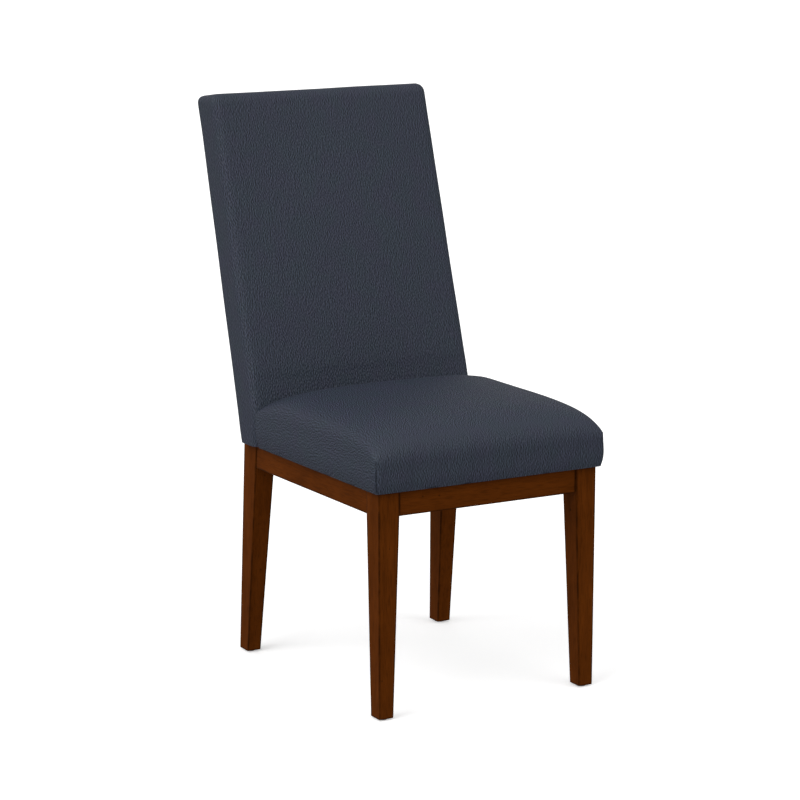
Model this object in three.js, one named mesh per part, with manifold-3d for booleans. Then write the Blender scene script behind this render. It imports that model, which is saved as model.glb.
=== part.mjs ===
// Parsons dining chair: a leather seat and back on a wooden frame of four tapered legs and four rails.
// Lengths are millimetres and angles degrees. +Z is up, the front faces -Y, and left and right are the
// sitter's, so left is +X. Y is measured from the front face of the front legs, until the last lines
// put the origin on the floor under the middle of the chair.
import * as THREE from 'three';
import { mergeVertices } from 'three/addons/utils/BufferGeometryUtils.js';
import Module from 'manifold-3d';

const wasm = await Module();
wasm.setup();

// Clearances
const fitGap = 0.3;
const paddingGap = 0.5;
const cutOverrun = 6;

// Legs
const frameHeight = 395.5;
const legSpan = 432;
const frontLegWidth = 40;
const frontLegDepth = 43;
const frontFootWidth = 27.5;
const frontFootDepth = 30;
const frontFootLean = 1.3;
const rearLegInset = 1.5;
const rearLegWidth = 38.4;
const rearLegDepth = 48.4;
const rearFootWidth = 26.5;
const rearFootDepth = 31.4;
const rearLegDistance = 446.9;
const rearLegKick = 42.4;
const arris = 1.5;

// Rails and their joints
const railHeight = 43.5;
const railThickness = 22;
const railRecess = 2.5;
const tenonLength = 18;
const tenonThickness = 10;
const tenonShoulder = 6;

// Corner blocks and screws
const blockReach = 105;
const blockHeight = 30;
const blockDrop = 4;
const screwShank = 4;
const screwHead = 8;
const screwHeadHeight = 3;
const railScrewPlace = 44;
const railScrewWood = 14;
const railScrewGrip = 15;
const seatScrewSideInset = 20;
const seatScrewFrontInset = 30;
const seatScrewRearInset = 24;
const seatScrewGrip = 14;

// Glides under the feet
const glideThickness = 2.5;
const glideDiameter = 20;
const glideNail = 3;
const glideNailLength = 12;

// Leather and webbing
const coverThickness = 1.6;
const seatHem = 20;
const backHem = 22;
const webThickness = 1.3;
const webWidth = 50;
const dustCoverThickness = 0.8;

// Seat
const seatFrameThickness = 20;
const seatFrameWidth = 70;
const seatOverhang = 8;
const seatSideBulge = 5;
const seatFrontBulge = 3.5;
const seatWallHeight = 47;
const seatBulgeShare = 0.55;
const seatEdgeRise = 62.5;
const seatCrown = 7.5;
const seatRearSetback = 20.9;
const seatFrontCorner = 10;
const seatRearCorner = 9;
const seatDipLength = 103;
const seatDipShare = 0.55;
const seatSidePower = 5;
const seatSideFullness = 4.25;
const seatFrontPower = 4.6;
const seatFrontFullness = 2.4;
const seatRearPower = 12;
const seatRearFullness = 12;
const seatLeanReach = 60;
const seatRoundShare = 0.6;

// Back
const backHeight = 613;
const backLedge = 10.3;
const backRake = 16.4;
const backSideOverhang = 14;
const backSideTaper = 7.7;
const backFrontEdge = 14;
const backRearEdge = 10;
const backTopEdge = 12;
const backTopFall = 7;
const backCrown = 4;
const backCrownStart = 95;
const backPanelBorder = 14;
const postFootWidth = 32;
const postTopWidth = 30;
const postDepth = 30;
const postSideInset = 2;
const backRearPadding = 5;
const backTopPadding = 14;
const backRailThickness = 22;
const backRailHeight = 50;
const backTenonLength = 14;

// Counts
const cornerSteps = 4;
const longSideSteps = 8;
const shortSideSteps = 3;
const seatSideSteps = 5;
const seatRings = 11;
const backBodyRings = 4;
const backEdgeSteps = 3;
const rodSides = 12;
const seatWebCount = 3;
const backCrossWebCount = 4;
const backLongWebCount = 2;

// Derived places
const railBottom = frameHeight - railHeight;
const seatLevel = frameHeight + fitGap;
const frontLegOuter = legSpan / 2;
const rearLegOuter = frontLegOuter - rearLegInset;
const frontLegInner = frontLegOuter - frontLegWidth;
const rearLegInner = rearLegOuter - rearLegWidth;
const sideRailOuter = frontLegOuter - railRecess;
const sideRailInner = sideRailOuter - railThickness;
const frontRailFace = railRecess;
const frontRailInner = frontRailFace + railThickness;
const rearLegBack = rearLegDistance + rearLegDepth;
const rearRailFace = rearLegBack - railRecess;
const rearRailInner = rearRailFace - railThickness;
const blockTop = frameHeight - blockDrop;
const blockBottom = blockTop - blockHeight;
const rake = Math.tan(THREE.MathUtils.degToRad(backRake));
const backFootHalf = rearLegOuter + backSideOverhang;
const seatRear = rearLegDistance - seatRearSetback;
const backFrontFoot = seatRear + fitGap - rake * seatWallHeight;
const backThickness = rearLegBack - backLedge - backFrontFoot;
const padInset = coverThickness + paddingGap;
const webSpace = 2 * webThickness + 3 * fitGap;

// Finishes
const wood = () => new THREE.MeshStandardMaterial({ color: 0x55270f, roughness: 0.42, metalness: 0 });
const innerWood = () => new THREE.MeshStandardMaterial({ color: 0xb08d5f, roughness: 0.7, metalness: 0 });
const leather = () => new THREE.MeshStandardMaterial({ color: 0x343a46, roughness: 0.55, metalness: 0 });
const foam = () => new THREE.MeshStandardMaterial({ color: 0xe3d9b8, roughness: 0.95, metalness: 0 });
const webbing = () => new THREE.MeshStandardMaterial({ color: 0x8a7a5c, roughness: 0.9, metalness: 0 });
const lining = () => new THREE.MeshStandardMaterial({ color: 0x17181a, roughness: 0.95, metalness: 0 });
const steel = () => new THREE.MeshStandardMaterial({ color: 0x9a9890, roughness: 0.35, metalness: 0.9 });
const plastic = () => new THREE.MeshStandardMaterial({ color: 0x2a1c14, roughness: 0.5, metalness: 0 });

// Geometry helpers
function clamp01(value) {
  return THREE.MathUtils.clamp(value, 0, 1);
}

function signedVolume(geometry) {
  const places = geometry.attributes.position;
  const order = geometry.index.array;
  const [a, b, c] = [new THREE.Vector3(), new THREE.Vector3(), new THREE.Vector3()];
  let total = 0;
  for (let i = 0; i < order.length; i += 3) {
    a.fromBufferAttribute(places, order[i]);
    b.fromBufferAttribute(places, order[i + 1]);
    c.fromBufferAttribute(places, order[i + 2]);
    total += a.dot(b.cross(c)) / 6;
  }
  return total;
}

// One closed skin with shared vertices, no collapsed faces and every face pointing out
function closedSkin(geometry) {
  const bare = geometry.clone();
  bare.deleteAttribute('normal');
  bare.deleteAttribute('uv');
  const skin = mergeVertices(bare);
  const inside = signedVolume(skin) < 0;
  const order = [];
  for (let i = 0; i < skin.index.count; i += 3) {
    const [a, b, c] = skin.index.array.subarray(i, i + 3);
    if (a !== b && b !== c && c !== a) {
      order.push(...(inside ? [b, a, c] : [a, b, c]));
    }
  }
  skin.setIndex(order);
  return skin;
}

function solidOf(geometry) {
  const skin = closedSkin(geometry);
  const vertProperties = new Float32Array(skin.attributes.position.array);
  const triVerts = new Uint32Array(skin.index.array);
  return new wasm.Manifold(new wasm.Mesh({ numProp: 3, vertProperties, triVerts }));
}

function geometryOf(solid) {
  const { vertProperties, triVerts } = solid.getMesh();
  const geometry = new THREE.BufferGeometry();
  geometry.setAttribute('position', new THREE.BufferAttribute(vertProperties, 3));
  geometry.setIndex(new THREE.BufferAttribute(triVerts, 1));
  return geometry;
}

function cut(geometry, ...tools) {
  return geometryOf(tools.reduce((solid, tool) => solid.subtract(solidOf(tool)), solidOf(geometry)));
}

function join(geometry, ...others) {
  return geometryOf(others.reduce((solid, other) => solid.add(solidOf(other)), solidOf(geometry)));
}

function common(geometry, other) {
  return geometryOf(solidOf(geometry).intersect(solidOf(other)));
}

function mirrored(geometry, side) {
  return side > 0 ? geometry : geometry.clone().scale(-1, 1, 1);
}

function box({ x, y, z }) {
  const geometry = new THREE.BoxGeometry(x[1] - x[0], y[1] - y[0], z[1] - z[0]);
  return geometry.translate((x[0] + x[1]) / 2, (y[0] + y[1]) / 2, (z[0] + z[1]) / 2);
}

function grown({ x, y, z }, by) {
  return { x: [x[0] - by, x[1] + by], y: [y[0] - by, y[1] + by], z: [z[0] - by, z[1] + by] };
}

// A skin through rings of points, each with as many points as the next; both ends close on a middle point
function loft(rings) {
  const count = rings[0].length;
  const middle = (ring) => ring.reduce((sum, p) => sum.add(p), new THREE.Vector3()).divideScalar(count);
  const points = [...rings.flat(), middle(rings[0]), middle(rings[rings.length - 1])];
  const order = [];
  for (let r = 0; r < rings.length - 1; r += 1) {
    for (let i = 0; i < count; i += 1) {
      const [a, b] = [r * count + i, r * count + ((i + 1) % count)];
      order.push(a, b, b + count, a, b + count, a + count);
    }
  }
  const last = (rings.length - 1) * count;
  for (let i = 0; i < count; i += 1) {
    const next = (i + 1) % count;
    order.push(next, i, points.length - 2, last + i, last + next, points.length - 1);
  }
  const geometry = new THREE.BufferGeometry().setFromPoints(points);
  geometry.setIndex(order);
  return geometry;
}

// A bar through level rectangles, with eased long edges
function bar(levels, ease) {
  const rings = levels.map(({ z, left, right, front, rear }) => {
    const corners = ease > 0
      ? [
        [right - ease, front], [right, front + ease], [right, rear - ease], [right - ease, rear],
        [left + ease, rear], [left, rear - ease], [left, front + ease], [left + ease, front],
      ]
      : [[right, front], [right, rear], [left, rear], [left, front]];
    return corners.map(([x, y]) => new THREE.Vector3(x, y, z));
  });
  return loft(rings);
}

function turnFromUp(along) {
  return new THREE.Quaternion().setFromUnitVectors(new THREE.Vector3(0, 1, 0), along.clone().normalize());
}

function rod(diameter, from, to) {
  const along = to.clone().sub(from);
  const geometry = new THREE.CylinderGeometry(diameter / 2, diameter / 2, along.length(), rodSides);
  const turn = turnFromUp(along);
  const middle = from.clone().add(to).multiplyScalar(0.5);
  return geometry.applyQuaternion(turn).translate(middle.x, middle.y, middle.z);
}

// A level outline with round corners, anticlockwise from above, starting at the front right corner
function roundedOutline({ halfWidth, front, rear, frontCorner, rearCorner }, endSteps, sideSteps) {
  const corners = [
    { x: halfWidth - frontCorner, y: front + frontCorner, radius: frontCorner, start: -90, steps: sideSteps },
    { x: halfWidth - rearCorner, y: rear - rearCorner, radius: rearCorner, start: 0, steps: endSteps },
    { x: rearCorner - halfWidth, y: rear - rearCorner, radius: rearCorner, start: 90, steps: sideSteps },
    { x: frontCorner - halfWidth, y: front + frontCorner, radius: frontCorner, start: 180, steps: endSteps },
  ];
  const arcs = corners.map(({ x, y, radius, start }) => Array.from({ length: cornerSteps + 1 }, (_, i) => {
    const angle = THREE.MathUtils.degToRad(start + (90 * i) / cornerSteps);
    return new THREE.Vector2(x + radius * Math.cos(angle), y + radius * Math.sin(angle));
  }));
  return arcs.flatMap((arc, i) => {
    const from = arc[cornerSteps];
    const to = arcs[(i + 1) % arcs.length][0];
    const between = Array.from({ length: corners[i].steps - 1 }, (_, k) => (
      from.clone().lerp(to, (k + 1) / corners[i].steps)
    ));
    return [...arc, ...between];
  });
}

function place(name, geometry, material, parent) {
  const skin = closedSkin(geometry);
  skin.computeVertexNormals();
  const mesh = new THREE.Mesh(skin, material);
  mesh.name = name;
  parent.add(mesh);
  return mesh;
}

const sides = [
  { side: 1, name: 'left' },
  { side: -1, name: 'right' },
];
const chair = new THREE.Group();
const frame = new THREE.Group();
const seat = new THREE.Group();
const back = new THREE.Group();
seat.position.z = seatLevel;
back.position.z = seatLevel;
chair.add(frame, seat, back);

// Tenons, as boxes that start inside their rail; the mortise is the same box grown by the gap
const tenonHeights = [railBottom + tenonShoulder, frameHeight - tenonShoulder];
const aroundMiddle = (low, high) => {
  const middle = (low + high) / 2;
  return [middle - tenonThickness / 2, middle + tenonThickness / 2];
};
const tenons = {
  front: {
    x: [frontLegInner - cutOverrun, frontLegInner + tenonLength],
    y: aroundMiddle(frontRailFace, frontRailInner),
    z: tenonHeights,
  },
  rear: {
    x: [rearLegInner - cutOverrun, rearLegInner + tenonLength],
    y: aroundMiddle(rearRailInner, rearRailFace),
    z: tenonHeights,
  },
  sideFront: {
    x: aroundMiddle(sideRailInner, sideRailOuter),
    y: [frontLegDepth - tenonLength, frontLegDepth + cutOverrun],
    z: tenonHeights,
  },
  sideRear: {
    x: aroundMiddle(sideRailInner, sideRailOuter),
    y: [rearLegDistance - cutOverrun, rearLegDistance + tenonLength],
    z: tenonHeights,
  },
};
const mortise = (tenon) => box(grown(tenon, fitGap));

// Front legs: straight beside the rails, tapered on the inner faces below them
function frontLeg() {
  const levels = [
    {
      z: glideThickness,
      left: frontLegOuter - frontFootLean - frontFootWidth,
      right: frontLegOuter - frontFootLean,
      front: frontFootLean,
      rear: frontFootLean + frontFootDepth,
    },
    { z: railBottom, left: frontLegInner, right: frontLegOuter, front: 0, rear: frontLegDepth },
    { z: frameHeight, left: frontLegInner, right: frontLegOuter, front: 0, rear: frontLegDepth },
  ];
  return cut(bar(levels, arris), mortise(tenons.front), mortise(tenons.sideFront), nailHole(frontFoot()));
}

// Rear legs: one piece with the posts of the back, which stand inside the upholstery
function rearLegFrontAt(z) {
  return rearLegDistance + rearLegKick * (1 - z / frameHeight);
}

function rearLegBackAt(z) {
  return rearLegFrontAt(z) + rearFootDepth + (rearLegDepth - rearFootDepth) * (z / frameHeight);
}

function rearLeg() {
  const level = (z, width) => ({
    z,
    left: rearLegOuter - width,
    right: rearLegOuter,
    front: rearLegFrontAt(z),
    rear: rearLegBackAt(z),
  });
  const leg = bar([
    level(glideThickness, rearFootWidth), level(railBottom, rearLegWidth), level(frameHeight, rearLegWidth),
  ], arris);
  const post = bar([postLevel(0), postLevel(postTop)], 0);
  const [postFoot, legTop] = [postLevel(0), level(frameHeight - cutOverrun, rearLegWidth)];
  const rootLevel = (z) => ({
    z,
    left: Math.max(postFoot.left, legTop.left + arris),
    right: Math.min(postFoot.right, legTop.right - arris),
    front: Math.max(postFoot.front, legTop.front + arris),
    rear: Math.min(postFoot.rear, legTop.rear - arris),
  });
  const root = bar([rootLevel(-cutOverrun), rootLevel(fitGap)], 0);
  const whole = join(leg, root.translate(0, 0, seatLevel), post.translate(0, 0, seatLevel));
  const backMortises = backRails.map(({ z }) => backTenon(z, fitGap).translate(0, 0, seatLevel));
  return cut(whole, mortise(tenons.rear), mortise(tenons.sideRear), ...backMortises, nailHole(rearFoot()));
}

// Back frame in the back's own place: z is measured from the seat's bottom level
function backFrontLine(z) {
  return backFrontFoot + rake * z;
}

function backRearLine(z) {
  return backFrontLine(z) + backThickness;
}

function backHalfWidth(z) {
  return backFootHalf - backSideTaper * (z / backHeight);
}

const postTop = backHeight - padInset - backTopPadding;
const postRear = (z) => backRearLine(z) - padInset - backRearPadding - fitGap;
const postFront = (z) => postRear(z) - postDepth;
const postOuter = (z) => rearLegOuter - postSideInset - backSideTaper * (z / backHeight);
const postInner = (z) => postOuter(z) - postFootWidth - (postTopWidth - postFootWidth) * (z / postTop);

function postLevel(z) {
  return { z, left: postInner(z), right: postOuter(z), front: postFront(z), rear: postRear(z) };
}

const backRails = [
  { name: 'back_bottom_rail', z: padInset },
  { name: 'back_top_rail', z: postTop - backRailHeight },
];

function backTenon(railPlace, gap) {
  const level = (z) => ({
    z,
    left: postInner(z) - cutOverrun - gap,
    right: postInner(z) + backTenonLength + gap,
    front: postFront(z) + tenonShoulder - gap,
    rear: postFront(z) + tenonShoulder + tenonThickness + gap,
  });
  const reach = [tenonShoulder - gap, backRailHeight - tenonShoulder + gap];
  return bar(reach.map((z) => level(railPlace + z)), 0);
}

function backRail(railPlace) {
  const level = (z) => ({
    z,
    left: fitGap - postInner(z),
    right: postInner(z) - fitGap,
    front: postFront(z),
    rear: postFront(z) + backRailThickness,
  });
  const body = bar([level(railPlace), level(railPlace + backRailHeight)], 0);
  const tenon = backTenon(railPlace, 0);
  return join(body, tenon, mirrored(tenon, -1));
}

// Rails
function frontRail() {
  const body = box({
    x: [fitGap - frontLegInner, frontLegInner - fitGap],
    y: [frontRailFace, frontRailInner],
    z: [railBottom, frameHeight],
  });
  const tenon = box(tenons.front);
  return join(body, tenon, mirrored(tenon, -1));
}

function rearRail() {
  const body = box({
    x: [fitGap - rearLegInner, rearLegInner - fitGap],
    y: [rearRailInner, rearRailFace],
    z: [railBottom, frameHeight],
  });
  const tenon = box(tenons.rear);
  return join(body, tenon, mirrored(tenon, -1));
}

function sideRail() {
  const level = (z) => ({
    z,
    left: sideRailInner,
    right: sideRailOuter,
    front: frontLegDepth + fitGap,
    rear: rearLegFrontAt(z) - fitGap,
  });
  return join(bar([level(railBottom), level(frameHeight)], 0), box(tenons.sideFront), box(tenons.sideRear));
}

// Corner blocks, each notched round its leg. Its own axes run inwards from the corner between the rails:
// across is along the front or rear rail and along is along the side rail.
const corners = [
  {
    name: 'front',
    railFace: frontRailInner,
    inward: 1,
    legAcross: sideRailInner - frontLegInner,
    legAlong: frontLegDepth - frontRailInner,
    seatScrewY: frontRailInner + seatScrewFrontInset,
  },
  {
    name: 'rear',
    railFace: rearRailInner,
    inward: -1,
    legAcross: sideRailInner - rearLegInner,
    legAlong: rearRailInner - rearLegDistance,
    seatScrewY: seatRear - padInset - seatScrewRearInset,
  },
];

function blockPoint(corner, across, along, z) {
  return new THREE.Vector3(sideRailInner - across, corner.railFace + corner.inward * along, z);
}

function blockFace(corner) {
  const outline = [
    [corner.legAcross + fitGap, fitGap], [blockReach, fitGap], [fitGap, blockReach],
    [fitGap, corner.legAlong + fitGap], [corner.legAcross + fitGap, corner.legAlong + fitGap],
  ];
  return new THREE.Shape(outline.map(([across, along]) => {
    const { x, y } = blockPoint(corner, across, along, 0);
    return new THREE.Vector2(x, y);
  }));
}

// Where the screws of a corner start and how far they reach: head seat first, then tip
const blockMiddle = (blockTop + blockBottom) / 2;

function railScrewLine(corner, intoSideRail) {
  const point = (depth) => (intoSideRail
    ? blockPoint(corner, depth, railScrewPlace, blockMiddle)
    : blockPoint(corner, railScrewPlace, depth, blockMiddle));
  return {
    head: point(railScrewWood + screwHeadHeight),
    tip: point(-railScrewGrip),
    open: point(blockReach),
  };
}

function seatScrewLine(corner) {
  const at = (z) => new THREE.Vector3(sideRailInner - seatScrewSideInset, corner.seatScrewY, z);
  const grip = seatLevel + padInset + seatScrewGrip;
  return { head: at(blockBottom - screwHeadHeight - fitGap), tip: at(grip) };
}

function pilot({ head, tip }) {
  const past = tip.clone().sub(head).setLength(fitGap);
  return rod(screwShank + 2 * fitGap, head, tip.clone().add(past));
}

function cornerBlock(corner) {
  const slab = new THREE.ExtrudeGeometry(blockFace(corner), { depth: blockHeight, bevelEnabled: false });
  const screws = [railScrewLine(corner, true), railScrewLine(corner, false)];
  const sinks = screws.map(({ head, tip, open }) => {
    const seatOfHead = head.clone().add(tip.clone().sub(head).setLength(screwHeadHeight + fitGap));
    return rod(screwHead + 2 * fitGap, open, seatOfHead);
  });
  return cut(slab.translate(0, 0, blockBottom), ...screws.map(pilot), ...sinks, pilot(seatScrewLine(corner)));
}

// Screws: a flat head, a plain shank and a short point, drawn along +Y from the top of the head
function screwGeometry(length) {
  const profile = [
    [0, 0], [screwHead / 2, 0], [screwHead / 2, screwHeadHeight / 3], [screwShank / 2, screwHeadHeight],
    [screwShank / 2, length - screwShank], [0, length],
  ];
  return new THREE.LatheGeometry(profile.map(([radius, y]) => new THREE.Vector2(radius, y)), rodSides);
}

function placeScrew(name, { head, tip }, side) {
  const [from, to] = [head, tip].map((p) => new THREE.Vector3(side * p.x, p.y, p.z));
  const along = to.clone().sub(from);
  const mesh = place(name, screwGeometry(along.length()), steel(), frame);
  mesh.quaternion.copy(turnFromUp(along));
  mesh.position.copy(from);
}

// Nail-on glides
function frontFoot() {
  const x = frontLegOuter - frontFootLean - frontFootWidth / 2;
  return new THREE.Vector3(x, frontFootLean + frontFootDepth / 2, 0);
}

function rearFoot() {
  const x = rearLegOuter - rearFootWidth / 2;
  return new THREE.Vector3(x, (rearLegFrontAt(0) + rearLegBackAt(0)) / 2, 0);
}

function nailHole(foot) {
  const top = glideThickness + glideNailLength + fitGap;
  return rod(glideNail + 2 * fitGap, foot, foot.clone().setZ(top));
}

function glideGeometry() {
  const rim = glideThickness / 3;
  const profile = [
    [0, 0], [glideDiameter / 2 - rim, 0], [glideDiameter / 2, rim],
    [glideDiameter / 2, glideThickness - fitGap],
    [glideNail / 2, glideThickness - fitGap], [glideNail / 2, glideThickness + glideNailLength - glideNail],
    [0, glideThickness + glideNailLength],
  ];
  const points = profile.map(([radius, y]) => new THREE.Vector2(radius, y));
  return new THREE.LatheGeometry(points, 2 * rodSides).rotateX(Math.PI / 2);
}

// Seat form, in the seat's own place: the outer skin, or one drawn in by an inset all round
const seatHalfWidth = frontLegOuter + seatOverhang + seatSideBulge;
const seatFront = -seatOverhang - seatFrontBulge;
const seatMiddle = (seatFront + seatRear) / 2;
const seatHalfDepth = (seatRear - seatFront) / 2;
const seatLeastHalf = Math.min(seatHalfWidth, seatHalfDepth);
const seatBulgeHeight = seatWallHeight * seatBulgeShare;

function seatHeight(x, y, inset) {
  const across = clamp01(Math.abs(x) / (seatHalfWidth - inset));
  const forward = clamp01((seatMiddle - y) / (seatHalfDepth - inset));
  const rearward = clamp01((y - seatMiddle) / (seatHalfDepth - inset));
  const dip = seatDipShare * clamp01((y - (seatRear - seatDipLength)) / seatDipLength) ** 2;
  const crown = seatCrown * (1 - across ** 2) * (1 - clamp01(Math.abs(y - seatMiddle) / seatHalfDepth) ** 2);
  const roundness = (1 - across ** seatSidePower) ** (1 / seatSideFullness)
    * (1 - forward ** seatFrontPower) ** (1 / seatFrontFullness)
    * (1 - rearward ** seatRearPower) ** (1 / seatRearFullness);
  return seatWallHeight + (seatEdgeRise - inset + crown) * roundness * (1 - dip);
}

function seatOutline(inset, sideDraw, frontDraw, cornerInset) {
  const shrink = inset + cornerInset;
  const mostRound = (seatLeastHalf - shrink) * seatRoundShare;
  return roundedOutline({
    halfWidth: seatHalfWidth - shrink - sideDraw,
    front: seatFront + shrink + frontDraw,
    rear: seatRear - shrink,
    frontCorner: Math.min(seatFrontCorner + shrink / 2, mostRound),
    rearCorner: Math.min(seatRearCorner + shrink / 2, mostRound),
  }, seatSideSteps, seatSideSteps);
}

// Above its upright wall the rear leans with the back that it rests against
function leanRear({ x, y, z }) {
  const reach = clamp01((y - (seatRear - seatLeanReach)) / seatLeanReach);
  return new THREE.Vector3(x, y + rake * Math.max(0, z - seatWallHeight) * reach, z);
}

function seatTopRings(inset) {
  return Array.from({ length: seatRings - 1 }, (_, j) => {
    const shrink = (seatLeastHalf - inset) * ((j + 1) / seatRings) ** 3;
    return seatOutline(inset, 0, 0, shrink).map(({ x, y }) => (
      leanRear(new THREE.Vector3(x, y, seatHeight(x, y, inset)))
    ));
  });
}

function seatWallRing(inset, z) {
  const draw = Math.max(0, 1 - z / seatBulgeHeight) ** 2;
  const outline = seatOutline(inset, seatSideBulge * draw, seatFrontBulge * draw, 0);
  return outline.map(({ x, y }) => new THREE.Vector3(x, y, z));
}

// A padded cover as one skin: over the top, down the wall, under as a hem, and back up inside
function coverSkin(outer, hem, inner) {
  return loft([...outer, ...hem, ...inner.reverse()]);
}

function seatCover() {
  const walls = [seatWallHeight, seatBulgeHeight, seatBulgeHeight / 2, 0];
  const outer = [...seatTopRings(0).reverse(), ...walls.map((z) => seatWallRing(0, z))];
  const innerWalls = [
    seatWallHeight, seatBulgeHeight, (seatBulgeHeight + coverThickness) / 2, coverThickness,
  ];
  const inner = [
    ...seatTopRings(coverThickness).reverse(), ...innerWalls.map((z) => seatWallRing(coverThickness, z)),
  ];
  const hemRing = (z) => seatOutline(0, seatSideBulge, seatFrontBulge, seatHem)
    .map(({ x, y }) => new THREE.Vector3(x, y, z));
  return coverSkin(outer, [hemRing(0), hemRing(coverThickness)], inner);
}

const seatFrameBottom = padInset;
const seatFrameTop = seatFrameBottom + seatFrameThickness;
const seatFoamBottom = seatFrameTop + webSpace;

function seatFoam() {
  const walls = [seatFoamBottom, seatWallHeight].map((z) => seatWallRing(padInset, z));
  return loft([...walls, ...seatTopRings(padInset)]);
}

// Seat frame: four flat rails, halved into each other at the corners
const seatFrameOuter = frontLegOuter + seatOverhang - padInset;
const seatFrameInner = seatFrameOuter - seatFrameWidth;
const seatFrameFront = padInset - seatOverhang;
const seatFrameRear = seatRear - padInset;
const seatFrameHalf = (seatFrameBottom + seatFrameTop) / 2;
const seatScrewHoles = () => corners.flatMap((corner) => sides.map(({ side }) => (
  mirrored(pilot(seatScrewLine(corner)), side).translate(0, 0, -seatLevel)
)));

// The frame's outline before it is parted into rails, with corners that follow the cover
function seatFrameBlank() {
  const outline = seatOutline(padInset, seatSideBulge, seatFrontBulge, 0);
  const level = (z) => outline.map(({ x, y }) => new THREE.Vector3(x, y, z));
  return loft([level(seatFrameBottom), level(seatFrameTop)]);
}

function seatSideFrame() {
  const rail = box({
    x: [seatFrameInner, seatFrameOuter + cutOverrun],
    y: [seatFrameFront - cutOverrun, seatFrameRear + cutOverrun],
    z: [seatFrameBottom - cutOverrun, seatFrameTop + cutOverrun],
  });
  const lap = (y) => box({
    x: [seatFrameInner - cutOverrun, seatFrameOuter + cutOverrun],
    y,
    z: [seatFrameHalf - fitGap / 2, seatFrameTop + cutOverrun],
  });
  const frontLap = lap([seatFrameFront - cutOverrun, seatFrameFront + seatFrameWidth + fitGap]);
  const rearLap = lap([seatFrameRear - seatFrameWidth - fitGap, seatFrameRear + cutOverrun]);
  return cut(common(seatFrameBlank(), rail), frontLap, rearLap, ...seatScrewHoles());
}

function seatCrossFrame(y) {
  const rail = box({
    x: [-seatFrameOuter - cutOverrun, seatFrameOuter + cutOverrun],
    y,
    z: [seatFrameBottom - cutOverrun, seatFrameTop + cutOverrun],
  });
  const lap = box({
    x: [seatFrameInner - fitGap, seatFrameOuter + 2 * cutOverrun],
    y: [y[0] - cutOverrun, y[1] + cutOverrun],
    z: [seatFrameBottom - 2 * cutOverrun, seatFrameHalf + fitGap / 2],
  });
  return cut(common(seatFrameBlank(), rail), lap, mirrored(lap, -1), ...seatScrewHoles());
}

// Webbing: a flat band through points, `across` its width
function band(points, across, through) {
  const half = across.clone().multiplyScalar(webWidth / 2);
  const thick = through.clone().multiplyScalar(webThickness / 2);
  return loft(points.map((point) => [
    point.clone().add(half).add(thick), point.clone().sub(half).add(thick),
    point.clone().sub(half).sub(thick), point.clone().add(half).sub(thick),
  ]));
}

// Offsets along a woven band: level at its fixed ends, over or under at each crossing
function wovenPath(end, opening, crossings, startsOver) {
  const weave = (webThickness + fitGap) / 2;
  const stops = crossings.flatMap((at, i) => {
    const lift = (i % 2 === 0) === startsOver ? weave : -weave;
    return [{ at: at - webWidth / 2, lift }, { at: at + webWidth / 2, lift }];
  });
  return [
    { at: -end, lift: 0 }, { at: -opening, lift: 0 },
    ...stops,
    { at: opening, lift: 0 }, { at: end, lift: 0 },
  ];
}

function spread(count, width) {
  return Array.from({ length: count }, (_, i) => width * ((i + 0.5) / count - 0.5));
}

function placeSeatWebs() {
  const openingDepth = seatFrameRear - seatFrameFront - 2 * seatFrameWidth;
  const middle = (seatFrameFront + seatFrameRear) / 2;
  const level = seatFrameTop + fitGap + webThickness / 2;
  const upward = new THREE.Vector3(0, 0, 1);
  const acrossPlaces = spread(seatWebCount, 2 * seatFrameInner);
  const alongPlaces = spread(seatWebCount, openingDepth);
  alongPlaces.forEach((offset, i) => {
    const path = wovenPath(seatFrameInner + webWidth, seatFrameInner, acrossPlaces, i % 2 === 0);
    const points = path.map(({ at, lift }) => new THREE.Vector3(at, middle + offset, level + lift));
    place(`seat_cross_web_${i + 1}`, band(points, new THREE.Vector3(0, 1, 0), upward), webbing(), seat);
  });
  acrossPlaces.forEach((offset, i) => {
    const path = wovenPath(openingDepth / 2 + webWidth, openingDepth / 2, alongPlaces, i % 2 !== 0);
    const points = path.map(({ at, lift }) => new THREE.Vector3(offset, middle + at, level + lift));
    place(`seat_long_web_${i + 1}`, band(points, new THREE.Vector3(1, 0, 0), upward), webbing(), seat);
  });
}

function dustCover() {
  const outline = seatOutline(0, seatSideBulge, seatFrontBulge, seatHem + fitGap);
  const top = seatFrameBottom - fitGap;
  const sheet = loft([top - dustCoverThickness, top].map((z) => (
    outline.map(({ x, y }) => new THREE.Vector3(x, y, z))
  )));
  return cut(sheet, ...seatScrewHoles());
}

// Back form, in the back's own place, drawn in by an inset all round
function backRing(z, inset, shrink) {
  const draw = inset + shrink;
  const topShare = clamp01((z - backCrownStart) / (backHeight - backCrownStart));
  const crown = backCrown * Math.sin(Math.PI * topShare) * (shrink > 0 ? 0 : 1);
  const front = Math.max(seatRear + fitGap, backFrontLine(z)) + draw;
  const rear = backRearLine(z) - draw;
  const halfWidth = backHalfWidth(z) - draw;
  const outline = roundedOutline({
    halfWidth,
    front,
    rear,
    frontCorner: Math.max(backFrontEdge - draw, coverThickness),
    rearCorner: Math.max(backRearEdge - draw, coverThickness),
  }, longSideSteps, shortSideSteps);
  const fallShare = clamp01((z - backHeight + 2 * backTopEdge) / backTopEdge);
  return outline.map(({ x, y }) => {
    const toFront = clamp01((rear - y) / (rear - front));
    const swell = crown * (1 - clamp01(Math.abs(x) / halfWidth) ** 2) * toFront;
    return new THREE.Vector3(x, y - swell, z - backTopFall * fallShare * (1 - toFront));
  });
}

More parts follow.
